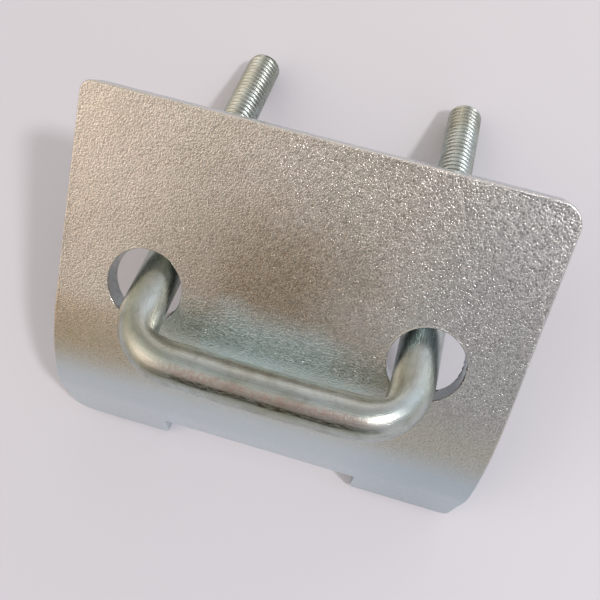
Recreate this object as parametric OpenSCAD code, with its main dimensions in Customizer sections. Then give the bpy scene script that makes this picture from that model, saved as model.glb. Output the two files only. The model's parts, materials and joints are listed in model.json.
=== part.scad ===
// U-bolt clamp for a 41 mm strut channel: a thick steel plate, bent over along its lower edge,
// with a square-bend U-bolt through two oversize holes, a washer and a nut on each leg.
// It lies on a table on the two feet of its lip and on the tips of the two legs.
// +X runs along the plate's width, +Y from the feet to the tips of the legs, +Z up, table at Z = 0.

/* [Clamp plate] */
// Width of the plate
plate_w = 86.5; // [82:0.5:100]
// Thickness of the plate
plate_t = 4.5; // [3:0.1:4.8]
// Flat face above the line of the holes
face_top = 33.5; // [20:0.5:45]
// Flat face below the line of the holes
face_low = 6; // [5:0.5:15]
// Outer radius of the gentle first stretch of the bend
sweep_r = 43; // [30:1:60]
// Angle at which the gentle stretch ends
sweep_angle = 28; // [15:1:35]
// Outer radius of the tight second stretch of the bend
fold_r = 13.5; // [8:0.5:20]
// Angle of the tight second stretch, a slope of 7 in 24
fold_angle = 16.2602; // [12:0.0001:22]
// Straight length of the lip beyond the bend
lip_len = 14.6; // [11:0.1:18]
// Radius of the upper left corner
corner_left_r = 2.2; // [1:0.1:6]
// Radius of the upper right corner
corner_right_r = 4.2; // [1:0.1:6]
// Radius of the lip's outer left corner
lip_left_r = 4.5; // [1:0.1:8]
// Radius of the lip's outer right corner
lip_right_r = 1.5; // [1:0.1:8]

/* [Holes and notch] */
// Distance between the two holes
hole_spacing = 53; // [50:0.5:56]
// Diameter of the holes
hole_d = 14.2; // [13.8:0.1:16]
// Width of the notch between the feet
notch_w = 42.4; // [30:0.2:48]
// Depth of the notch
notch_depth = 9.2; // [4:0.2:10]
// Radius in the notch's inner corners
notch_r = 1.2; // [0.5:0.1:3]

/* [U-bolt] */
// Diameter of the round bar
rod_d = 8; // [7.6:0.1:8.2]
// Distance between the two legs
leg_spacing = 50.2; // [49.6:0.1:52]
// Bend radius at the middle of the bar
bend_r = 9.2; // [7:0.1:12]
// From the line of the holes to the middle of the crown
crown_reach = 14.8; // [13:0.1:18]
// From the line of the holes to the tips of the legs
leg_reach = 70; // [60:0.5:90]
// Angle between the legs and a line square to the plate
bolt_tilt = 36.5; // [33:0.5:37]
// From the line of the holes to the free stretch of thread beyond the nut
free_from = 37; // [36:0.5:60]
// Diameter of that stretch, just inside the crests of its thread
free_d = 7.68; // [7.4:0.01:7.7]
// Chamfer at the tips
tip_chamfer = 1.2; // [0.5:0.1:2]

/* [Nuts and washers] */
// From the line of the holes to the nut's front face
nut_at = 29; // [28:0.5:34]
// Width of the nut across flats
nut_flats = 13; // [12.5:0.1:14]
// Height of the nut
nut_h = 6.5; // [5:0.1:8]
// Diameter of the nut's bore over the thread
nut_bore_d = 8.1; // [8.04:0.02:8.16]
// Outer diameter of the washer
washer_d = 20; // [16:0.5:24]
// Diameter of the washer's hole
washer_hole_d = 8.4; // [8.3:0.1:9]
// Thickness of the washer
washer_t = 2; // [1.2:0.1:2.5]

/* [Hidden] */
$fn = 96;
past = 1;

// The plate's side view, as [height up the face, distance out of the face], with the
// line of the holes at mid thickness as the origin. unit(a) points out of the bend at angle a.
function unit(a) = [-sin(a), cos(a)];
function along(a) = [-cos(a), -sin(a)];
sweep_centre = [-face_low, plate_t / 2 - sweep_r];
lip_angle = sweep_angle + fold_angle;
fold_centre = sweep_centre + (sweep_r - fold_r) * unit(sweep_angle);
lip_start = fold_centre + fold_r * unit(lip_angle);
lip_end = lip_start + lip_len * along(lip_angle);
foot_edge = lip_end - plate_t * unit(lip_angle);

// Where the tips of the legs touch the table, in the same side view
leg_dir = [sin(bolt_tilt), -cos(bolt_tilt)];
leg_under = [-cos(bolt_tilt), -sin(bolt_tilt)];
tip_edge = (leg_reach - tip_chamfer) * leg_dir + free_d / 2 * leg_under;

// Lean of the plate and slope of the legs on the table, and the height of the line of the holes
plate_lean = atan2(foot_edge.y - tip_edge.y, tip_edge.x - foot_edge.x);
leg_slope = 90 - bolt_tilt - plate_lean;
pivot_z = -(foot_edge.x * sin(plate_lean) + foot_edge.y * cos(plate_lean));

// Middle of the object's length, which is put at Y = 0
front_y = lip_end.x * cos(plate_lean) - lip_end.y * sin(plate_lean);
back_y = leg_reach * cos(leg_slope) + (free_d / 2 - tip_chamfer) * sin(leg_slope);
pivot_y = -(front_y + back_y) / 2;
nut_corner_r = nut_flats / 2 / cos(30);
nut_face_r = nut_flats / 2 * 0.95;

// Puts what is drawn in the plate's own frame (Y up the face, Z out of it) on the table
module on_plate() {
    translate([0, pivot_y, pivot_z])
        rotate([plate_lean, 0, 0])
            children();
}

// Puts what is drawn in the U-bolt's own frame (legs along +Y, loop in the XY plane) on the table
module on_bolt() {
    translate([0, pivot_y, pivot_z])
        rotate([-leg_slope, 0, 0])
            children();
}

// The side view of a bend that starts at the origin, whose outer surface runs towards -X there
// and turns down; what follows the bend is drawn at its end, in the same way
module bend(r, angle) {
    reach = 2 * r;
    translate([0, -r]) {
        intersection() {
            difference() {
                circle(r = r, $fn = 180);
                circle(r = r - plate_t, $fn = 180);
            }
            translate([-reach, 0])
                square([reach, reach]);
            rotate([0, 0, angle])
                square([reach, reach]);
        }
        rotate([0, 0, angle])
            translate([0, r])
                children();
    }
}

// The whole side view of the plate: its face, the two stretches of the bend and the lip
module plate_profile() {
    translate([-face_low, plate_t / 2]) {
        translate([0, -plate_t])
            square([face_low + face_top, plate_t]);
        bend(sweep_r, sweep_angle)
            bend(fold_r, fold_angle)
                translate([-lip_len, -plate_t])
                    square([lip_len, plate_t]);
    }
}

// What is cut away to round a corner at the origin whose metal lies towards -X and -Y
module corner_cut(r) {
    translate([-r, -r, -plate_t * 2])
        difference() {
            cube([r + past, r + past, plate_t * 4]);
            translate([0, 0, -past])
                cylinder(r = r, h = plate_t * 4 + 2 * past);
        }
}

// Puts what is drawn on the lip: Y towards its free end, Z inwards through its thickness
module on_lip() {
    translate([0, lip_end.x, lip_end.y])
        rotate([180 + lip_angle, 0, 0])
            children();
}

module notch_cut() {
    low = -notch_depth;
    wide = notch_w / 2;
    translate([0, 0, -plate_t]) {
        linear_extrude(height = plate_t * 3)
            union() {
                translate([-wide + notch_r, low])
                    square([2 * (wide - notch_r), notch_depth + past]);
                translate([-wide, low + notch_r])
                    square([2 * wide, notch_depth - notch_r + past]);
                for (side = [-1, 1])
                    translate([side * (wide - notch_r), low + notch_r])
                        circle(r = notch_r);
            }
    }
}

module clamp_plate() {
    color([0.66, 0.64, 0.60])
        on_plate()
            difference() {
                // the side view's X is up the face, so it is turned to run along Y
                rotate([90, 0, 90])
                    linear_extrude(height = plate_w, center = true)
                        plate_profile();
                for (side = [-1, 1])
                    translate([side * hole_spacing / 2, 0, -plate_t])
                        cylinder(d = hole_d, h = plate_t * 2);
                translate([plate_w / 2, face_top, 0])
                    corner_cut(corner_right_r);
                translate([-plate_w / 2, face_top, 0])
                    mirror([1, 0, 0])
                        corner_cut(corner_left_r);
                on_lip() {
                    notch_cut();
                    translate([plate_w / 2, 0, 0])
                        corner_cut(lip_right_r);
                    translate([-plate_w / 2, 0, 0])
                        mirror([1, 0, 0])
                            corner_cut(lip_left_r);
                }
            }
}

// One leg with its bend, from the crown's straight stretch to the tip
module leg() {
    crown_y = bend_r - crown_reach;
    translate([leg_spacing / 2 - bend_r, crown_y, 0])
        rotate([0, 0, -90])
            rotate_extrude(angle = 90)
                translate([bend_r, 0])
                    circle(d = rod_d, $fn = 64);
    translate([leg_spacing / 2, 0, 0])
        rotate([-90, 0, 0]) {
            translate([0, 0, crown_y])
                cylinder(d = rod_d, h = free_from - crown_y);
            translate([0, 0, free_from])
                cylinder(d = free_d, h = leg_reach - tip_chamfer - free_from);
            translate([0, 0, leg_reach - tip_chamfer])
                cylinder(d1 = free_d, d2 = free_d - 2 * tip_chamfer, h = tip_chamfer);
        }
}

module u_bolt() {
    crown_len = leg_spacing - 2 * bend_r;
    color([0.70, 0.71, 0.68])
        on_bolt() {
            translate([-crown_len / 2, -crown_reach, 0])
                rotate([0, 90, 0])
                    cylinder(d = rod_d, h = crown_len);
            leg();
            mirror([1, 0, 0])
                leg();
        }
}

module washer(side) {
    color([0.68, 0.69, 0.68])
        on_bolt()
            translate([side * leg_spacing / 2, nut_at - washer_t, 0])
                rotate([-90, 0, 0])
                    difference() {
                        cylinder(d = washer_d, h = washer_t);
                        translate([0, 0, -past])
                            cylinder(d = washer_hole_d, h = washer_t + 2 * past);
                    }
}

// A hex nut with its corners turned off at both ends and a countersunk bore
module hex_nut(side) {
    corner_h = (nut_corner_r - nut_face_r) * tan(30);
    sink = 0.5;
    bore_r = nut_bore_d / 2;
    color([0.67, 0.68, 0.66])
        on_bolt()
            translate([side * leg_spacing / 2, nut_at, 0])
                rotate([-90, 0, 0])
                    difference() {
                        intersection() {
                            cylinder(r = nut_corner_r, h = nut_h, $fn = 6);
                            rotate_extrude()
                                polygon([
                                    [0, 0],
                                    [nut_face_r, 0],
                                    [nut_corner_r, corner_h],
                                    [nut_corner_r, nut_h - corner_h],
                                    [nut_face_r, nut_h],
                                    [0, nut_h]
                                ]);
                        }
                        translate([0, 0, -past])
                            cylinder(r = bore_r, h = nut_h + 2 * past);
                        for (end = [0, 1])
                            translate([0, 0, end * nut_h])
                                mirror([0, 0, end])
                                    translate([0, 0, -past])
                                        cylinder(r1 = bore_r + sink + past, r2 = bore_r, h = sink + past);
                    }
}

clamp_plate();
u_bolt();
washer(-1);  // washer_left
washer(1);  // washer_right
hex_nut(-1);  // nut_left
hex_nut(1);  // nut_right
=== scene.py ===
"""Looks of the strut channel U-bolt clamp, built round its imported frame.

Sizes are in millimetres; on_plate() and on_bolt() turn them into metres in the row's frame.
"""
import json
import math

import bpy
import numpy as np
from mathutils import Matrix, Vector, geometry, noise


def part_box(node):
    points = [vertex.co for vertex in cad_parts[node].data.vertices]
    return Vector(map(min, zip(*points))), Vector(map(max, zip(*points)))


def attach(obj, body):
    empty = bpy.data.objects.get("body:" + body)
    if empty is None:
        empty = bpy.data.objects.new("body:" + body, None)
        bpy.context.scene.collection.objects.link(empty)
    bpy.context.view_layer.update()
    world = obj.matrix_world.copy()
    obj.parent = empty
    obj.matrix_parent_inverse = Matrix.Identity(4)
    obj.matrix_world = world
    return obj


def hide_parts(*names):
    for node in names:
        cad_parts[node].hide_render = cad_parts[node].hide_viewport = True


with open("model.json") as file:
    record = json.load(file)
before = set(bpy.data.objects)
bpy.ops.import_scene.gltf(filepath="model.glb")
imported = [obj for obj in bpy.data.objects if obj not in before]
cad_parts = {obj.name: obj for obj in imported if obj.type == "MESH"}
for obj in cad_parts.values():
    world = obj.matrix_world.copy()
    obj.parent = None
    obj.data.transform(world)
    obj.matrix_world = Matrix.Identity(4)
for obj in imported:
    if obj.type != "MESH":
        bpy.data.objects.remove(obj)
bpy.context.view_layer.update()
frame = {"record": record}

MM = 0.001
TAU = 2 * math.pi
LEFT, RIGHT = -1, 1
# the UV maps that follow the plate and the bar run 0.01 for each millimetre
UV_PER_MM = 0.01

# ---------------------------------------------------------------- where the frame puts things
joints = {j["name"]: j for j in frame["record"]["behaviour"]["joints"]}
PIVOT = Vector(joints["plate_tilt"]["pos_m"]) / MM
LEG_DIR = Vector(joints["washer_slide_left"]["axis"])
LEG_SLOPE = math.atan2(-LEG_DIR.z, LEG_DIR.y)
HALF_SPACING = abs(joints["nut_spin_left"]["pos_m"][0]) / MM
PLATE_LOW, PLATE_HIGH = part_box("clamp_plate")
HALF_W = (PLATE_HIGH.x - PLATE_LOW.x) / 2 / MM

# ---------------------------------------------------------------- sizes of the plate
# its side view: a flat face, a gentle sweep, a tight fold and a straight lip
BOLT_TILT = math.radians(36.5)
PLATE_LEAN = math.pi / 2 - BOLT_TILT - LEG_SLOPE
PLATE_T = 4.5
FACE_TOP, FACE_LOW = 33.5, 6.0
SWEEP_R, SWEEP_A = 43.0, math.radians(28)
FOLD_R, FOLD_A = 13.5, math.radians(16.2602)
LIP_A = SWEEP_A + FOLD_A
LIP_LEN = 14.6
SWEEP_LEN = SWEEP_R * SWEEP_A
FOLD_LEN = FOLD_R * FOLD_A
LOW_END = -(FACE_LOW + SWEEP_LEN + FOLD_LEN + LIP_LEN)
# its outline
TOP_LEFT_R, TOP_RIGHT_R = 2.2, 4.2
LIP_LEFT_R, LIP_RIGHT_R = 4.5, 1.5
NOTCH_HALF, NOTCH_DEPTH = 21.2, 9.2
NOTCH_MOUTH_R, NOTCH_ROOT_R = 0.8, 1.2
HOLE_X, HOLE_R = 26.5, 7.1
# how far its cut edges are rounded at the front and at the back
OUTER_EDGE = (0.38, 0.22)
HOLE_EDGE = (0.3, 0.15)
# where each hole's rim is ragged, as (angle, half reach) round the hole; how far outside the
# rim that shows, and how far the burrs stand into the hole
BURRS = {RIGHT: ((0.0, 0.4), (-1.15, 0.45), (-2.95, 0.3)), LEFT: ((-0.6, 0.25),)}
BURR_WIDTH = 1.5
BURR_STANDS = 0.34
TORN_DEPTH = 0.05
WAVE_HEIGHT, WAVE_DROP = 0.035, 0.02
PLATE_SPACING = 0.9
HOLE_POINTS = 120

# ---------------------------------------------------------------- sizes of the U-bolt
BAR_R = 4.0
BEND_R = 9.1
CROWN_REACH = 14.65
BEND_Y = BEND_R - CROWN_REACH
CROWN_BOW = 0.25
BEND_STEPS = 30
# how far each bend's inner side is pressed towards a sharp corner, and how much thinner its
# outside is drawn
BEND_PINCH = {LEFT: 0.80, RIGHT: 0.70}
BEND_THINNING = 0.12
LEG_REACH = 70.0
TIP_CHAMFER = 1.2
CHAMFER_AT = LEG_REACH - TIP_CHAMFER
THREAD_LEN, THREAD_R = 45.0, 3.86
THREAD_AT = LEG_REACH - THREAD_LEN
THREAD_RUN_IN = 2.0
PITCH, THREAD_DEPTH = 1.25, 0.62
TIP_FACE_R = 1.6
BAR_POINTS = 56

# ---------------------------------------------------------------- sizes of nuts and washers
NUT_AT, NUT_H, NUT_FLATS = 29.0, 6.5, 13.0
NUT_FACE_SHARE = 0.95
NUT_BORE_R, NUT_SINK, NUT_GROOVE = 4.0, 0.5, 0.30
NUT_POINTS = 144
WASHER_T, WASHER_R, WASHER_HOLE_R = 2.0, 10.0, 4.2
WASHER_FRONT_EDGE, WASHER_BACK_EDGE = 0.3, 0.12
WASHER_POINTS = 120


# ---------------------------------------------------------------- places in the row's frame
def unit(a):
    """Out of the bend at angle a, as (up the face, out of the face)."""
    return Vector((-math.sin(a), math.cos(a)))


def along(a):
    """Down the outer surface at angle a of the bend."""
    return Vector((-math.cos(a), -math.sin(a)))


SWEEP_C = Vector((-FACE_LOW, PLATE_T / 2 - SWEEP_R))
FOLD_C = SWEEP_C + (SWEEP_R - FOLD_R) * unit(SWEEP_A)
LIP_START = FOLD_C + FOLD_R * unit(LIP_A)


def plate_side(s, depth):
    """The plate's side view: s up the outer surface from the line of the holes, depth below it."""
    down = -FACE_LOW - s
    if down <= 0:
        return Vector((s, PLATE_T / 2 - depth))
    if down <= SWEEP_LEN:
        return SWEEP_C + (SWEEP_R - depth) * unit(down / SWEEP_R)
    down -= SWEEP_LEN
    if down <= FOLD_LEN:
        return FOLD_C + (FOLD_R - depth) * unit(SWEEP_A + down / FOLD_R)
    return LIP_START + (down - FOLD_LEN) * along(LIP_A) - depth * unit(LIP_A)


def on_plate(x, s, depth):
    y, z = plate_side(s, depth)
    c, k = math.cos(PLATE_LEAN), math.sin(PLATE_LEAN)
    return Vector((x, PIVOT.y + y * c - z * k, PIVOT.z + y * k + z * c)) * MM


def on_bolt(x, reach, lift):
    """reach along the legs from the line of the holes to the tips, lift square to the loop."""
    c, k = math.cos(LEG_SLOPE), math.sin(LEG_SLOPE)
    return Vector((x, PIVOT.y + reach * c + lift * k, PIVOT.z - reach * k + lift * c)) * MM


# ---------------------------------------------------------------- mesh helpers
def make_object(name, verts, faces, sharp=40, **uv_maps):
    """A mesh object. Each UV map is given by its name, with one (u, v) for each vertex."""
    mesh = bpy.data.meshes.new(name)
    mesh.from_pydata([tuple(v) for v in verts], [], faces)
    mesh.validate()
    for map_name, uvs in uv_maps.items():
        layer = mesh.uv_layers.new(name=map_name)
        for loop in mesh.loops:
            layer.data[loop.index].uv = uvs[loop.vertex_index]
    mesh.shade_smooth()
    mesh.set_sharp_from_angle(angle=math.radians(sharp))
    obj = bpy.data.objects.new(name, mesh)
    bpy.context.scene.collection.objects.link(obj)
    return obj


def band(faces, low, high, count, flip=False):
    """Quads between two closed rings of vertices that start at the indices low and high."""
    for i in range(count):
        j = (i + 1) % count
        quad = (low + i, low + j, high + j, high + i)
        faces.append(quad[::-1] if flip else quad)


def smooth(t):
    """0 below 0, 1 above 1 and an S-curve between."""
    t = min(max(t, 0.0), 1.0)
    return t * t * (3 - 2 * t)


# ---------------------------------------------------------------- the plate
def corner_arc(before, corner, after, radius, spacing):
    """Points and inward normals round one rounded corner of a counter-clockwise outline."""
    a = (before - corner).normalized()
    b = (after - corner).normalized()
    half = a.angle(b) / 2
    reach = radius / math.tan(half)
    centre = corner + (a + b).normalized() * (radius / math.sin(half))
    start, end = corner + a * reach - centre, corner + b * reach - centre
    concave = a.x * b.y - a.y * b.x > 0
    sweep = start.angle_signed(end)
    # a quarter turn is about 1.6 radii long, with two points for each spacing
    steps = max(4, int(radius * 1.6 / (spacing * 0.5)))
    arc = []
    for k in range(steps + 1):
        v = start.copy()
        v.rotate(Matrix.Rotation(-sweep * k / steps, 2))
        arc.append((centre + v, v.normalized() if concave else -v.normalized()))
    return arc


def rounded_loop(corners, spacing):
    """Points and inward normals round a counter-clockwise outline of (x, s, radius) corners."""
    places = [Vector(corner[:2]) for corner in corners]
    count = len(corners)
    arcs = [
        corner_arc(places[i - 1], places[i], places[(i + 1) % count], corners[i][2], spacing)
        for i in range(count)
    ]
    loop = []
    for i, arc in enumerate(arcs):
        loop += arc
        p, q = arc[-1][0], arcs[(i + 1) % count][0][0]
        steps = max(1, round((q - p).length / spacing))
        side = (q - p).normalized()
        inward = Vector((-side.y, side.x))
        loop += [(p + (q - p) * (m / steps), inward) for m in range(1, steps)]
    return loop


def hole_loop(side):
    """A hole's rim; its inward normals point into the metal, away from the hole's middle."""
    loop = []
    for k in range(HOLE_POINTS):
        a = -TAU * k / HOLE_POINTS
        d = Vector((math.cos(a), math.sin(a)))
        loop.append((Vector((side * HOLE_X, 0)) + d * HOLE_R, d))
    return loop


def edge_section(front, back, steps=5):
    """(inset, depth) across a cut edge that is rounded by front and by back."""
    section = []
    for k in range(steps + 1):
        a = math.pi / 2 * k / steps
        section.append((front * (1 - math.sin(a)), front * (1 - math.cos(a))))
    for k in range(1, steps):
        section.append((0.0, front + (PLATE_T - front - back) * k / steps))
    for k in range(steps + 1):
        a = math.pi / 2 * (1 - k / steps)
        section.append((back * (1 - math.sin(a)), PLATE_T - back * (1 - math.cos(a))))
    return section


def burr_at(p):
    """How ragged a hole's rim is at a point of the plate, from 0 to 1."""
    side = RIGHT if p.x > 0 else LEFT
    from_hole = Vector((p.x - side * HOLE_X, p.y))
    if from_hole.length > HOLE_R + BURR_WIDTH:
        return 0.0
    a = math.atan2(from_hole.y, from_hole.x)
    amount = 0.0
    for centre, reach in BURRS[side]:
        away = abs((a - centre + math.pi) % TAU - math.pi)
        amount = max(amount, smooth(1.6 * (1 - away / reach)))
    return amount


def fracture(p, inset, depth):
    """How far a sheared wall stands in: smooth near the front, torn towards the back."""
    torn = smooth((depth - 1.5) / 1.0) * smooth((PLATE_T - depth) / 0.3)
    rough = noise.noise(Vector((p.x * 0.9, p.y * 0.9, depth * 1.7)))
    ragged = max(0.0, 0.35 + noise.noise(Vector((p.x * 1.7, p.y * 1.7, depth * 0.9))))
    back_lip = smooth((depth - 3.2) / 1.0)
    front_lip = 0.6 * smooth((0.9 - depth) / 0.5) * smooth(depth / 0.15)
    burr = BURR_STANDS * burr_at(p) * (back_lip + front_lip) * ragged
    return inset + TORN_DEPTH * torn * (rough + 0.6) - burr


def inside(x, y, outline):
    """Whether a point is inside an outline, given as an array of points."""
    x1, y1 = outline[:, 0], outline[:, 1]
    x2, y2 = np.roll(x1, -1), np.roll(y1, -1)
    crosses = (y1 > y) != (y2 > y)
    with np.errstate(divide="ignore", invalid="ignore"):
        at = x1 + (y - y1) / (y2 - y1) * (x2 - x1)
    return bool((crosses & (x < at)).sum() % 2)


def in_hole(x, y, slack=0.0):
    return any(math.hypot(x - side * HOLE_X, y) < HOLE_R + slack for side in (LEFT, RIGHT))


def inner_points(loops, spacing):
    """Staggered rows of points over the plate, clear of its rims."""
    rim = np.array([tuple(p) for loop in loops for p in loop])
    outline = np.array([tuple(p) for p in loops[0]])
    low, high = rim.min(axis=0), rim.max(axis=0)
    rows = int((high[1] - low[1]) / (spacing * 0.87))
    columns = int((high[0] - low[0]) / spacing)
    points = []
    for r in range(1, rows):
        y = low[1] + (high[1] - low[1]) * r / rows
        for c in range(columns + 1):
            x = low[0] + (c + 0.5 * (r % 2)) * spacing
            near_rim = np.hypot(rim[:, 0] - x, rim[:, 1] - y).min() < spacing * 0.62
            if not near_rim and inside(x, y, outline) and not in_hole(x, y):
                points.append(Vector((x, y)))
    return points


def fill_cap(loops, spacing):
    """Flat triangles between an outer loop and hole loops, with even points inside.

    Gives the points, the triangles and, for each point, the rim point that it is, or None.
    """
    rim = [p for loop in loops for p in loop]
    outline = np.array([tuple(p) for p in loops[0]])
    edges = []
    start = 0
    for loop in loops:
        n = len(loop)
        edges += [(start + i, start + (i + 1) % n) for i in range(n)]
        start += n
    found = geometry.delaunay_2d_cdt(rim + inner_points(loops, spacing), edges, [], 0, 1e-5)
    points, triangles, origins = found[0], found[2], found[3]
    kept = []
    for triangle in triangles:
        x = sum(points[i].x for i in triangle) / 3
        y = sum(points[i].y for i in triangle) / 3
        if inside(x, y, outline) and not in_hole(x, y, 0.02):
            kept.append(triangle)
    rim_points = [next((o for o in origin if o < len(rim)), None) for origin in origins]
    return points, kept, rim_points


def build_plate():
    corners = [
        (HALF_W, FACE_TOP, TOP_RIGHT_R),
        (-HALF_W, FACE_TOP, TOP_LEFT_R),
        (-HALF_W, LOW_END, LIP_LEFT_R),
        (-NOTCH_HALF, LOW_END, NOTCH_MOUTH_R),
        (-NOTCH_HALF, LOW_END + NOTCH_DEPTH, NOTCH_ROOT_R),
        (NOTCH_HALF, LOW_END + NOTCH_DEPTH, NOTCH_ROOT_R),
        (NOTCH_HALF, LOW_END, NOTCH_MOUTH_R),
        (HALF_W, LOW_END, LIP_RIGHT_R),
    ]
    contours = [
        (rounded_loop(corners, PLATE_SPACING), edge_section(*OUTER_EDGE)),
        (hole_loop(LEFT), edge_section(*HOLE_EDGE)),
        (hole_loop(RIGHT), edge_section(*HOLE_EDGE)),
    ]
    verts, faces, uvs, walls = [], [], [], []

    def add(x, s, depth, burr=0.0):
        verts.append(on_plate(x, s, depth))
        uvs.append((x * UV_PER_MM, s * UV_PER_MM))
        walls.append((depth / PLATE_T, burr))
        return len(verts) - 1

    # the walls of the outline and of the holes, from the front to the back
    front, back = [], []
    for loop, section in contours:
        n = len(loop)
        first = len(verts)
        last = first + (len(section) - 1) * n
        for inset, depth in section:
            for p, inward in loop:
                q = p + inward * fracture(p, inset, depth)
                add(q.x, q.y, depth, burr_at(p))
        for ring in range(first, last, n):
            band(faces, ring, ring + n, n)
        front += range(first, first + n)
        back += range(last, last + n)

    # the front and the back face
    for depth, section_at, rim_ids, flip in ((0.0, 0, front, False), (PLATE_T, -1, back, True)):
        loops = [
            [p + inward * fracture(p, section[section_at][0], depth) for p, inward in loop]
            for loop, section in contours
        ]
        points, triangles, rim_points = fill_cap(loops, PLATE_SPACING)
        ids = [
            add(p.x, p.y, depth) if at is None else rim_ids[at]
            for p, at in zip(points, rim_points)
        ]
        for triangle in triangles:
            face = [ids[i] for i in triangle]
            if len(set(face)) == 3:
                faces.append(face[::-1] if flip else face)
    obj = make_object("clamp_plate_pressing", verts, faces, sharp=50, along=uvs, wall=walls)
    add_waviness(obj.data)
    return obj


def add_waviness(mesh):
    """The gentle waviness of hot rolled plate, kept under a twentieth of a millimetre."""
    normals = [v.normal.copy() for v in mesh.vertices]
    for v, normal in zip(mesh.vertices, normals):
        wave = noise.noise(v.co / MM * 0.11) + 0.5 * noise.noise(v.co / MM * 0.35)
        v.co += normal * (wave * WAVE_HEIGHT - WAVE_DROP) * MM
    mesh.update()


# ---------------------------------------------------------------- the U-bolt
def leg_path(side, outward):
    """One leg from its tip to its bend, or the other way round when outward."""
    reaches = [LEG_REACH - k * TIP_CHAMFER / 4 for k in range(5)]
    end = reaches[-1]
    threaded = int(round((end - THREAD_AT) / (PITCH / 8)))
    reaches += [end - (end - THREAD_AT) * k / threaded for k in range(1, threaded + 1)]
    plain = int((THREAD_AT - BEND_Y) / 1.5)
    reaches += [THREAD_AT - (THREAD_AT - BEND_Y) * k / plain for k in range(1, plain)]
    if outward:
        reaches = reaches[::-1]
    tangent = Vector((0, 1 if outward else -1))
    return [(Vector((side * HALF_SPACING, reach)), tangent) for reach in reaches]


def bend_path(side):
    """The left bend from the leg to the crown, or the right bend from the crown to the leg."""
    centre = Vector((side * (HALF_SPACING - BEND_R), BEND_Y))
    path = []
    for k in range(BEND_STEPS + 1):
        a = math.pi / 2 * k / BEND_STEPS
        c, s = math.cos(a), math.sin(a)
        if side == LEFT:
            path.append((centre + BEND_R * Vector((-c, -s)), Vector((s, -c))))
        else:
            path.append((centre + BEND_R * Vector((s, -c)), Vector((c, s))))
    return path


def crown_path():
    """The crown's straight stretch, bowed a little outwards."""
    straight = HALF_SPACING - BEND_R
    path = []
    for k in range(1, BEND_STEPS):
        x = -straight + 2 * straight * k / BEND_STEPS
        f = x / straight
        y = -CROWN_REACH - CROWN_BOW * (1 - f * f)
        slope = CROWN_BOW * 2 * f / straight
        path.append((Vector((x, y)), Vector((1, slope)).normalized()))
    return path


def bolt_path():
    """Places and tangents, both as (x, reach), from the left tip to the right tip."""
    return (leg_path(LEFT, False) + bend_path(LEFT) + crown_path()
            + bend_path(RIGHT) + leg_path(RIGHT, True))


def thread_cut(reach, angle):
    """How deep the thread is cut at a place along the leg and round it."""
    f = (reach / PITCH - angle / TAU) % 1.0
    return THREAD_DEPTH * smooth((abs(2 * f - 1) - 0.12) / 0.76)


def bar_radius(reach, heading, angle):
    """The plain bar's radius, or the thread's and the chamfer's towards the tips."""
    if reach <= THREAD_AT - THREAD_RUN_IN:
        return BAR_R
    grown = smooth((reach - THREAD_AT) / 2.5)
    reduced = smooth((reach - THREAD_AT + THREAD_RUN_IN) / THREAD_RUN_IN)
    hand = 1 if heading > 0 else -1
    r = BAR_R + (THREAD_R - BAR_R) * reduced - thread_cut(reach * hand, angle) * grown
    past = reach - CHAMFER_AT
    return min(r, THREAD_R - past) if past > 0 else r


def bend_marks(p):
    """How strongly the bar is bent at a place, and how far its inner corner is pressed in."""
    if p.y >= 0:
        return 0.0, 0.0
    turn = math.atan2(p.y + CROWN_REACH - BEND_R, abs(p.x) - HALF_SPACING + BEND_R)
    off = abs(turn + math.pi / 4)
    bent = smooth(1 - off / (math.pi / 3.2))
    # how much metal a sharp inner corner would leave out
    corner = (BEND_R - BAR_R) * (1 / math.cos(math.pi / 4 - min(off, math.pi / 4)) - 1)
    return bent, BEND_PINCH[RIGHT if p.x > 0 else LEFT] * corner


def build_bolt():
    stations = bolt_path()
    verts, faces, uvs = [], [], []
    gaps = [(b[0] - a[0]).length for a, b in zip(stations, stations[1:])]
    length = -sum(gaps) / 2
    for (p, t), gap in zip(stations, [0.0] + gaps):
        length += gap
        side = Vector((t.y, -t.x))
        bent, pinch = bend_marks(p)
        for k in range(BAR_POINTS):
            a = TAU * k / BAR_POINTS
            c, s = math.cos(a), math.sin(a)
            # the bar is thinner outside its bends, where c is above 0, and pressed in inside
            r = bar_radius(p.y, t.y, a)
            r -= bent * BEND_THINNING * max(c, 0.0) + pinch * max(-c, 0.0) ** 2
            lump = noise.noise(Vector((length * 0.25, c * 2, s * 2)))
            lift = r * s * (1 + 0.004 * lump)
            verts.append(on_bolt(p.x + side.x * r * c, p.y + side.y * r * c, lift))
            uvs.append((length * UV_PER_MM, k / BAR_POINTS))
    rings = len(stations)
    for i in range(rings - 1):
        band(faces, i * BAR_POINTS, (i + 1) * BAR_POINTS, BAR_POINTS, flip=True)
    for ring, flip in ((0, False), (rings - 1, True)):
        close_tip(verts, faces, uvs, stations[ring], ring * BAR_POINTS, flip)
    return make_object("u_bolt_bar", verts, faces, sharp=60, along=uvs)


def close_tip(verts, faces, uvs, station, outer, flip):
    """A faintly dished end face on the ring of vertices that starts at outer."""
    p, t = station
    inner = len(verts)
    for k in range(BAR_POINTS):
        a = TAU * k / BAR_POINTS
        r = TIP_FACE_R
        verts.append(on_bolt(p.x + t.y * r * math.cos(a), p.y - 0.05, r * math.sin(a)))
        uvs.append((0, k / BAR_POINTS))
    band(faces, outer, inner, BAR_POINTS, flip=flip)
    middle = len(verts)
    verts.append(on_bolt(p.x, p.y - 0.25, 0))
    uvs.append((0, 0))
    for k in range(BAR_POINTS):
        triangle = (inner + k, inner + (k + 1) % BAR_POINTS, middle)
        faces.append(triangle[::-1] if flip else triangle)


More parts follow.
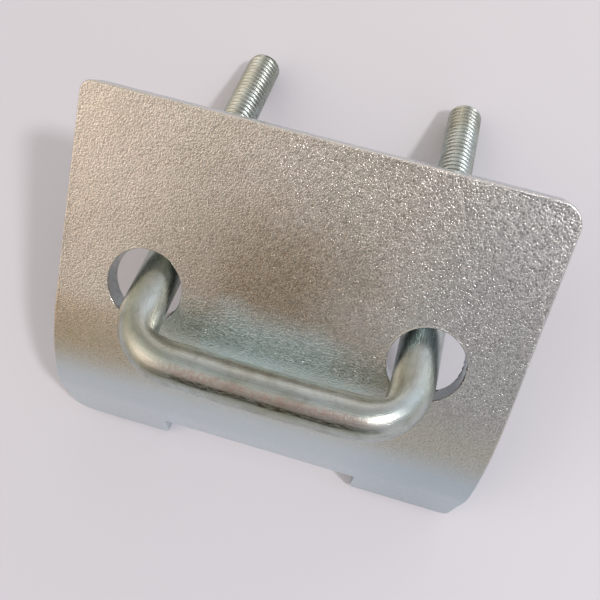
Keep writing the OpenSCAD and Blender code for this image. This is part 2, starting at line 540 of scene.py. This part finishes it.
# ---------------------------------------------------------------- nuts and washers
def lathe(name, side, section_at, points, sharp=40):
    """A closed ring-shaped piece round a leg. section_at(angle) is its (radius, reach) loop."""
    verts, faces, uvs = [], [], []
    for k in range(points):
        a = TAU * k / points
        section = section_at(a)
        rows = len(section)
        for m, (r, reach) in enumerate(section):
            x = side * HALF_SPACING + r * math.cos(a)
            verts.append(on_bolt(x, reach, r * math.sin(a)))
            uvs.append((k / points, m / rows))
    for k in range(points):
        here, there = k * rows, ((k + 1) % points) * rows
        for m in range(rows):
            n = (m + 1) % rows
            faces.append((here + m, there + m, there + n, here + n))
    return make_object(name, verts, faces, sharp=sharp, along=uvs)


def round_corner(r, reach, radius, from_angle, steps=4):
    """Points of a quarter-round edge whose centre is (r, reach)."""
    angles = [from_angle + math.pi / 2 * k / steps for k in range(steps + 1)]
    return [(r + radius * math.cos(a), reach + radius * math.sin(a)) for a in angles]


def build_washer(name, side):
    """A stamped washer: rolled over at its front edges, sharper at the back."""
    front, back = NUT_AT - WASHER_T, NUT_AT
    middle = (front + back) / 2
    soft, crisp = WASHER_FRONT_EDGE, WASHER_BACK_EDGE
    hole, rim, flat = WASHER_HOLE_R, WASHER_R - 0.02, 7.0

    def section_at(a):
        ripple = 0.009 * noise.noise(Vector((math.cos(a) * 6, math.sin(a) * 6, side)))
        return (
            round_corner(hole + soft, front + soft, soft, math.pi)
            + [(flat, front + 0.01)]
            + round_corner(rim - soft, front + soft, soft, -math.pi / 2)
            + [(rim - 0.01 + ripple, middle)]
            + round_corner(rim - crisp, back - crisp, crisp, 0.0)
            + [(flat, back - 0.01)]
            + round_corner(hole + crisp, back - crisp, crisp, math.pi / 2)
            + [(hole, middle)]
        )

    return lathe(name, side, section_at, WASHER_POINTS)


def build_nut(name, side):
    """A hex nut with its corners turned off at both ends and a threaded, countersunk bore."""
    flat = NUT_FLATS / 2
    corner = flat / math.cos(math.pi / 6)
    face_r = flat * NUT_FACE_SHARE
    drop = math.tan(math.pi / 6)
    front, back = NUT_AT, NUT_AT + NUT_H
    bore, sink = NUT_BORE_R, NUT_SINK
    broken, inset = 0.16, 0.03

    def hexagon(a):
        """Distance to the hexagon's side at an angle, with its corners just broken."""
        turn = (a + math.pi / 6) % (math.pi / 3) - math.pi / 6
        return min(flat / math.cos(turn), corner - broken)

    def section_at(a):
        reach = hexagon(a)
        wide = reach - face_r
        cut = max(wide, 0.0) * drop
        loop = [(bore + sink, front + 0.005), (face_r - 0.1, front + 0.005)]
        loop += [(face_r + wide * k / 4, front + inset + cut * k / 4) for k in range(4)]
        loop += [(reach - 0.03, front + inset + cut * 0.93), (reach, front + 0.1 + cut)]
        loop += [(reach, (front + back) / 2)]
        loop += [(reach, back - 0.1 - cut), (reach - 0.03, back - inset - cut * 0.93)]
        loop += [(face_r + wide * k / 4, back - inset - cut * k / 4) for k in range(3, -1, -1)]
        loop += [(face_r - 0.1, back), (bore + sink, back)]
        steps = int(NUT_H / (PITCH / 6))
        for k in range(steps + 1):
            y = back - sink * 0.8 - (NUT_H - sink * 1.6) * k / steps
            sunk = max(0.0, 1 - min(back - y, y - front) / sink)
            turn = (y / PITCH - a / TAU) % 1.0
            groove = NUT_GROOVE * smooth(abs(2 * turn - 1) * 1.2 - 0.1)
            loop.append((bore + groove + sunk * sink * 0.4, y))
        return loop

    return lathe(name, side, section_at, NUT_POINTS, sharp=28)


# ---------------------------------------------------------------- materials
class Nodes:
    """Short words for building a node material."""

    def __init__(self, name, metallic=0.0):
        self.mat = bpy.data.materials.new(name)
        self.mat.use_nodes = True
        self.tree = self.mat.node_tree
        self.tree.nodes.clear()
        out = self.add("ShaderNodeOutputMaterial")
        self.bsdf = self.add("ShaderNodeBsdfPrincipled")
        self.bsdf.inputs["Metallic"].default_value = metallic
        self.tree.links.new(self.bsdf.outputs[0], out.inputs["Surface"])
        self.place = self.add("ShaderNodeTexCoord").outputs["Object"]

    def add(self, kind, **props):
        node = self.tree.nodes.new(kind)
        for key, value in props.items():
            setattr(node, key, value)
        return node

    def feed(self, socket, value):
        if isinstance(value, bpy.types.NodeSocket):
            self.tree.links.new(value, socket)
        else:
            socket.default_value = value

    def shade(self, **inputs):
        """Feeds the shader; an underscore in a name stands for a space."""
        for name, value in inputs.items():
            self.feed(self.bsdf.inputs[name.replace("_", " ")], value)

    def uv(self, name):
        return self.add("ShaderNodeUVMap", uv_map=name).outputs[0]

    def split(self, vector):
        node = self.add("ShaderNodeSeparateXYZ")
        self.feed(node.inputs[0], vector)
        return node.outputs

    def scaled(self, scale, source=None, turn=(0, 0, 0)):
        node = self.add("ShaderNodeMapping")
        self.feed(node.inputs["Vector"], source or self.place)
        node.inputs["Scale"].default_value = scale
        node.inputs["Rotation"].default_value = turn
        return node.outputs[0]

    def noise(self, scale, detail=3.0, rough=0.5, vector=None, distort=0.0):
        node = self.add("ShaderNodeTexNoise")
        self.feed(node.inputs["Vector"], vector or self.place)
        node.inputs["Scale"].default_value = scale
        node.inputs["Detail"].default_value = detail
        node.inputs["Roughness"].default_value = rough
        node.inputs["Distortion"].default_value = distort
        return node.outputs["Fac"]

    def math(self, operation, *values):
        node = self.add("ShaderNodeMath", operation=operation)
        for socket, value in zip(node.inputs, values):
            self.feed(socket, value)
        return node.outputs[0]

    def times(self, first, *others):
        for other in others:
            first = self.math("MULTIPLY", first, other)
        return first

    def plus(self, a, b):
        return self.math("ADD", a, b)

    def away(self, value, centre):
        """How far a value is from a centre, without its sign."""
        return self.math("ABSOLUTE", self.math("SUBTRACT", value, centre))

    def spot(self, u, v, centre, stretch):
        """How far a place on the UV map is from a centre, with each direction stretched."""
        across = self.times(self.math("SUBTRACT", u, centre[0]), stretch[0])
        up = self.times(self.math("SUBTRACT", v, centre[1]), stretch[1])
        return self.math("SQRT", self.plus(self.times(across, across), self.times(up, up)))

    def fit(self, value, low, high, to_low=0.0, to_high=1.0):
        """Turns low to high into to_low to to_high along an S-curve, and stops at both ends."""
        node = self.add("ShaderNodeMapRange", interpolation_type="SMOOTHSTEP")
        for name, number in (("Value", value), ("From Min", low), ("From Max", high),
                             ("To Min", to_low), ("To Max", to_high)):
            self.feed(node.inputs[name], number)
        return node.outputs[0]

    def mix(self, factor, a, b):
        node = self.add("ShaderNodeMix", data_type="RGBA")
        # sockets 6 and 7 are the two colours, and output 2 their mix
        for socket, value in ((0, factor), (6, a), (7, b)):
            self.feed(node.inputs[socket], value)
        return node.outputs[2]

    def bump(self, height, strength, distance, normal=None):
        node = self.add("ShaderNodeBump")
        node.inputs["Strength"].default_value = strength
        node.inputs["Distance"].default_value = distance
        self.feed(node.inputs["Height"], height)
        if normal is not None:
            self.feed(node.inputs["Normal"], normal)
        return node.outputs[0]


def rgb(r, g, b):
    """A display colour from 0 to 255 as the linear colour the shader needs."""
    def linear(c):
        c /= 255
        return c / 12.92 if c <= 0.04045 else ((c + 0.055) / 1.055) ** 2.4
    return (linear(r), linear(g), linear(b), 1.0)


FRESH_PLATING, AGED_PLATING = rgb(217, 212, 204), rgb(209, 203, 193)
DULL_PLATING = rgb(193, 187, 179)
# Painted reflections on the plate's face (smoky, bluish and warm) and painted shade towards its
# right edge (greyish)
SMOKY_REFLECTION, BLUISH_REFLECTION, WARM_REFLECTION, GREYISH_SHADE = (
    rgb(168, 151, 128), rgb(222, 242, 246), rgb(204, 184, 158), rgb(188, 190, 190))
# the bend's tone, with painted shade that darkens it towards the right
BEND_LEFT, BEND_RIGHT_SHADED = rgb(205, 219, 226), rgb(187, 203, 212)
# painted shade in the grain's hollows and painted glints on its crests
GRAIN_PIT_SHADE, GRAIN_CREST_GLINT = rgb(150, 138, 126), rgb(238, 233, 225)
SHEARED_STEEL, BURR_BLACK = rgb(168, 186, 194), rgb(44, 40, 36)


def plate_material():
    """Bright zinc over a sandy skin, smooth on the bend, with torn and burred cut walls."""
    n = Nodes("zinc_plate_sandy", metallic=1.0)
    # the map "along" runs across the plate and up it; "wall" holds the share of the
    # thickness below the front face and how ragged the rim is
    u, v, _ = n.split(n.uv("along"))
    depth, burr, _ = n.split(n.uv("wall"))
    on_bend = n.fit(v, -0.13, -0.25)
    wall = n.times(n.fit(depth, 0.05, 0.10), n.fit(depth, 0.985, 0.96))
    front = n.fit(depth, 0.6, 0.3)
    sandy = n.times(n.fit(on_bend, 0.0, 1.0, 1.0, 0.26), n.fit(wall, 0.0, 1.0, 1.0, 0.3))
    worms = n.noise(3050, 2.0, 0.5, distort=0.6)
    fine = n.noise(6500, 2.0, 0.6)
    clumps = n.noise(1000, 3.0, 0.6)
    broad = n.noise(38, 3.0, 0.5)
    patch = n.noise(90, 4.0, 0.6)

    base = n.mix(n.fit(broad, 0.35, 0.65), FRESH_PLATING, AGED_PLATING)
    base = n.mix(n.fit(patch, 0.45, 0.75, 0.0, 0.30), base, DULL_PLATING)
    # painted reflections: the front face is smoky and darker over its middle, where it mirrors the
    # dim side of the room, bluish just behind the crown, where it mirrors the bar, and warmer at
    # both sides just above the bend, where it mirrors the warm horizon
    ragged = n.times(patch, 0.2)
    smoky_reflection = n.fit(n.plus(n.spot(u, v, (-0.03, 0.07), (0.9, 1.2)), ragged), 0.34, 0.12)
    base = n.mix(n.times(smoky_reflection, front, 0.9), base, SMOKY_REFLECTION)
    bluish_reflection = n.fit(n.plus(n.spot(u, v, (-0.03, -0.055), (0.55, 1.9)), ragged), 0.27, 0.14)
    base = n.mix(n.times(bluish_reflection, front, 0.75), base, BLUISH_REFLECTION)
    warm_reflection_sides = n.times(n.fit(v, -0.03, -0.09), n.fit(n.math("ABSOLUTE", u), 0.18, 0.34))
    base = n.mix(n.times(warm_reflection_sides, front, 0.6), base, WARM_REFLECTION)
    # painted shade: the whole plate is greyer and darker towards its right edge, on the face and
    # on the bend, and the bend is bluish
    base = n.mix(n.fit(u, 0.12, 0.36, 0.0, 0.7), base, GREYISH_SHADE)
    bend_tone = n.mix(n.fit(u, 0.10, 0.36), BEND_LEFT, BEND_RIGHT_SHADED)
    base = n.mix(n.times(on_bend, 0.85), base, bend_tone)
    # painted shade in the hollows of the grains and painted glints on their crests
    base = n.mix(n.times(n.fit(worms, 0.30, 0.44, 0.2, 0.0), sandy), base, GRAIN_PIT_SHADE)
    base = n.mix(n.times(n.fit(worms, 0.50, 0.62, 0.0, 0.28), sandy), base, GRAIN_CREST_GLINT)
    # sheared walls: a burnished band, then torn steel with thin plating
    torn = n.fit(n.noise(1600, 3.0, 0.6, n.scaled((1.0, 1.0, 0.35))), 0.35, 0.65)
    base = n.mix(n.times(wall, n.fit(torn, 0.0, 1.0, 0.35, 0.8)), base, SHEARED_STEEL)
    front_rim = n.times(n.fit(depth, 0.32, 0.10), n.fit(depth, 0.003, 0.03))
    rims = n.plus(front_rim, n.fit(depth, 0.80, 0.98))
    specks = n.fit(n.noise(1100, 4.0, 0.7), 0.47, 0.56)
    burrs = n.times(n.fit(burr, 0.2, 0.7), specks, rims)
    base = n.mix(burrs, base, BURR_BLACK)

    rough = n.plus(n.fit(clumps, 0.3, 0.7, 0.17, 0.27), n.times(on_bend, 0.12))
    rough = n.plus(rough, n.times(burrs, 0.4))
    # soft worm-like grains stand on a smoother skin, so the plate still mirrors the room
    grains = n.times(n.fit(worms, 0.34, 0.68), n.fit(clumps, 0.30, 0.60, 0.75, 1.0), sandy)
    normal = n.bump(grains, 1.0, 0.000034)
    normal = n.bump(n.times(fine, sandy), 0.6, 0.000012, normal)
    n.shade(Base_Color=base, Roughness=rough, Normal=normal)
    return n.mat


PALE_BAR, OLIVE_BAR = rgb(188, 197, 196), rgb(176, 180, 171)
BAR_MOTTLE, BAR_LINES = rgb(139, 142, 131), rgb(133, 136, 122)
PINK_STREAK_TONE, DARK_LINE_TONE, SCAR = rgb(164, 142, 134), rgb(62, 58, 42), rgb(50, 46, 38)


def bar_material():
    """Drawn bar under thin zinc: lines along it, and a pinkish streak and a dark ragged line
    outside the crown.
    """
    n = Nodes("zinc_bar_drawn", metallic=1.0)
    # the map runs along the bar from the middle of the crown, and once round it from the
    # side that faces away from the plate
    uv = n.uv("along")
    u, v, _ = n.split(uv)
    round_from = n.math("WRAP", v, 0.5, -0.5)
    streak = n.noise(20, 5.0, 0.65, n.scaled((1.0, 7.0, 1.0), uv))
    lines = n.noise(16, 3.0, 0.6, n.scaled((0.5, 16.0, 1.0), uv))
    mottle = n.noise(380, 4.0, 0.65)
    fine = n.noise(2600, 2.0, 0.5)
    broad = n.noise(70, 3.0, 0.5)

    base = n.mix(n.fit(broad, 0.35, 0.65), PALE_BAR, OLIVE_BAR)
    base = n.mix(n.fit(mottle, 0.42, 0.72, 0.0, 0.5), base, BAR_MOTTLE)
    base = n.mix(n.fit(lines, 0.52, 0.68, 0.0, 0.35), base, BAR_LINES)
    # a pinkish streak along the outside of the crown, with a dark ragged line under it
    on_crown = n.fit(n.away(u, 0.01), 0.13, 0.23, 1.0, 0.0)
    wander = n.times(n.math("SUBTRACT", n.noise(9, 4.0, 0.6, uv), 0.5), 0.05)
    place = n.plus(round_from, wander)
    pink = n.fit(n.away(place, 0.145), 0.018, 0.055, 1.0, 0.0)
    pink = n.times(pink, on_crown, n.fit(n.noise(1700, 4.0, 0.7), 0.38, 0.60, 0.3, 0.8))
    base = n.mix(pink, base, PINK_STREAK_TONE)
    dark = n.fit(n.away(place, 0.092), 0.010, 0.034, 1.0, 0.0)
    gaps = n.noise(60, 5.0, 0.75, n.scaled((1.0, 3.0, 1.0), uv))
    dark = n.times(dark, on_crown, n.fit(gaps, 0.34, 0.56, 0.3, 1.0))
    base = n.mix(dark, base, DARK_LINE_TONE)
    scars = n.noise(38, 4.0, 0.8, n.scaled((1.6, 5.0, 1.0), uv, (0, 0, 0.12)))
    base = n.mix(n.times(n.fit(scars, 0.66, 0.70), 0.85), base, SCAR)

    rough = n.plus(n.fit(streak, 0.3, 0.7, 0.22, 0.36), n.times(pink, 0.10))
    rough = n.plus(rough, n.times(dark, 0.25))
    height = n.plus(n.times(lines, 0.5), n.times(mottle, 0.4))
    streak_marks = n.times(n.plus(pink, dark), n.noise(1500, 3.0, 0.6))
    normal = n.bump(n.plus(height, streak_marks), 0.5, 0.00008)
    normal = n.bump(fine, 0.5, 0.00003, normal)
    n.shade(Base_Color=base, Roughness=rough, Normal=normal)
    return n.mat


def small_part_material(name, tone, worn, scale):
    """Plain zinc for a washer or nut, between a tone and a more worn one."""
    n = Nodes(name, metallic=1.0)
    broad = n.noise(scale, 3.0, 0.6)
    fine = n.noise(scale * 22, 2.0, 0.5)
    n.shade(Base_Color=n.mix(n.fit(broad, 0.35, 0.65), tone, worn),
            Roughness=n.fit(fine, 0.3, 0.7, 0.22, 0.38),
            Normal=n.bump(fine, 0.5, 0.00004))
    return n.mat


def floor_material():
    n = Nodes("pale_table")
    broad = n.noise(3, 2.0, 0.5)
    n.shade(Base_Color=n.mix(n.fit(broad, 0.3, 0.7), rgb(213, 211, 216), rgb(210, 209, 216)),
            Roughness=0.55, Specular_IOR_Level=0.3)
    return n.mat


# ---------------------------------------------------------------- build and place
def dress(obj, material, body, node):
    obj.data.materials.append(material)
    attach(obj, body)
    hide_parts(node)


dress(build_plate(), plate_material(), "plate", "clamp_plate")
dress(build_bolt(), bar_material(), "bolt", "u_bolt")
washer_zinc = small_part_material("zinc_washer", rgb(196, 197, 196), rgb(174, 177, 172), 220)
nut_zinc = small_part_material("zinc_nut", rgb(190, 190, 186), rgb(168, 170, 162), 260)
for word, side, letter in (("left", LEFT, "l"), ("right", RIGHT, "r")):
    dress(build_washer(f"washer_{word}_disc", side), washer_zinc, f"washer_{letter}",
          f"washer_{word}")
    dress(build_nut(f"nut_{word}_hex", side), nut_zinc, f"nut_{letter}", f"nut_{word}")

# ---------------------------------------------------------------- floor, in metres
FLOOR_HALF = 1.2
# just under the object, so that no two faces share a plane
FLOOR_Z = -0.00002
FLOOR_CORNERS = [
    (x * FLOOR_HALF, y * FLOOR_HALF, FLOOR_Z) for x, y in ((-1, -1), (1, -1), (1, 1), (-1, 1))
]
floor = make_object("table_top", FLOOR_CORNERS, [(0, 1, 2, 3)])
floor.data.materials.append(floor_material())

# ---------------------------------------------------------------- camera
CAM_AZ = math.radians(27.789)
CAM_EL = math.radians(80.516)
CAM_ROLL = math.radians(11.949)
CAM_DISTANCE = 120.911
CAM_LENS, CAM_SENSOR = 39.36, 36
CAM_AIM = PIVOT + Vector((1.572, 4.558, 0.0))


def make_camera():
    """The photograph's view: azimuth 0 looks along +Y, from the side of the feet."""
    back = Vector((math.sin(CAM_AZ) * math.cos(CAM_EL), -math.cos(CAM_AZ) * math.cos(CAM_EL),
                   math.sin(CAM_EL)))
    level = Vector((math.cos(CAM_AZ), math.sin(CAM_AZ), 0))
    up = back.cross(level) * math.cos(CAM_ROLL) + level * math.sin(CAM_ROLL)
    right = up.cross(back)
    data = bpy.data.cameras.new("camera")
    data.lens = CAM_LENS
    data.sensor_width = CAM_SENSOR
    data.clip_start, data.clip_end = 0.01, 10
    camera = bpy.data.objects.new("camera", data)
    place = Matrix.Translation(CAM_AIM * MM + back * CAM_DISTANCE * MM)
    camera.matrix_world = place @ Matrix((right, up, back)).transposed().to_4x4()
    bpy.context.scene.collection.objects.link(camera)
    return camera


bpy.context.scene.camera = make_camera()


# ---------------------------------------------------------------- light
def toward(azimuth, elevation):
    """Unit direction; azimuth 0 looks along +X and 90 along +Y."""
    a, e = math.radians(azimuth), math.radians(elevation)
    return Vector((math.cos(a) * math.cos(e), math.sin(a) * math.cos(e), math.sin(e)))


# the lamp that casts the photograph's shadows, in metres and watts
LAMP_WAY = toward(-5.4, 57.2)
LAMP_DISTANCE = 1.1
LAMP_SIZE = 0.10
LAMP_POWER = 4.4
LAMP_COLOUR = (1.0, 0.98, 0.99)
LIT_MIDDLE = Vector((0, 0, 0.02))


def make_lamp():
    data = bpy.data.lights.new("lamp", "AREA")
    data.shape = "RECTANGLE"
    data.size = data.size_y = LAMP_SIZE
    data.energy = LAMP_POWER
    data.color = LAMP_COLOUR
    lamp = bpy.data.objects.new("lamp", data)
    lamp.location = LIT_MIDDLE + LAMP_WAY * LAMP_DISTANCE
    lamp.rotation_euler = LAMP_WAY.to_track_quat("Z", "Y").to_euler()
    bpy.context.scene.collection.objects.link(lamp)


make_lamp()

# Soft lights of the room: azimuth, elevation, how narrow it is and its colour. The side where
# the person with the camera stands (azimuth 270) is dim, and the plate's middle mirrors it.
ROOM = {
    "ceiling_right": (0, 62, 11, (0.85, 0.83, 0.86)),
    "ceiling_left": (180, 62, 11, (0.74, 0.79, 0.72)),
    "window_left": (202, 36, 11, (2.05, 1.68, 1.50)),
    "low_right": (315, 12, 11, (0.78, 0.82, 1.00)),
    "far_right": (45, 12, 5, (1.04, 1.14, 1.30)),
    "far_wall": (90, 12, 5, (0.72, 0.62, 0.62)),
    "far_left": (135, 12, 5, (0.45, 0.43, 0.36)),
    "person": (262, 50, 6, (0.09, 0.05, 0.025)),
    "near_right": (308, 50, 9, (0.15, 0.15, 0.16)),
    "near_low": (266, 26, 30, (0.34, 0.50, 0.58)),
}
HORIZON = (0.38, 0.32, 0.18)
HORIZON_HEIGHT = 0.35


def room_world():
    """The sum of the room's soft lights and a pale horizon, as the world's background."""
    world = bpy.data.worlds.new("room")
    world.use_nodes = True
    tree = world.node_tree
    tree.nodes.clear()

    def add(kind, operation, *sources):
        node = tree.nodes.new(kind)
        if operation:
            node.operation = operation
        for k, source in enumerate(sources):
            if isinstance(source, bpy.types.NodeSocket):
                tree.links.new(source, node.inputs[k])
            else:
                node.inputs[k].default_value = source
        return node

    def number(operation, *sources):
        return add("ShaderNodeMath", operation, *sources).outputs[0]

    def glow(falloff, colour):
        """Light that fades as e to the power of falloff, in one colour."""
        tint = add("ShaderNodeVectorMath", "SCALE", colour)
        tree.links.new(number("EXPONENT", falloff), tint.inputs["Scale"])
        return tint.outputs[0]

    way = add("ShaderNodeTexCoord", None).outputs["Generated"]
    height = add("ShaderNodeSeparateXYZ", None, way).outputs[2]
    low = number("MULTIPLY", height, 1 / HORIZON_HEIGHT)
    total = glow(number("MULTIPLY", number("MULTIPLY", low, low), -1.0), HORIZON)
    for azimuth, elevation, narrow, colour in ROOM.values():
        dot = add("ShaderNodeVectorMath", "DOT_PRODUCT", way, toward(azimuth, elevation))
        off = number("SUBTRACT", dot.outputs["Value"], 1.0)
        light = glow(number("MULTIPLY", off, float(narrow)), colour)
        total = add("ShaderNodeVectorMath", "ADD", total, light).outputs[0]
    background = add("ShaderNodeBackground", None, total)
    add("ShaderNodeOutputWorld", None, background.outputs[0])
    bpy.context.scene.world = world


room_world()

bpy.context.scene.view_settings.view_transform = "Standard"
bpy.context.scene.view_settings.look = "None"
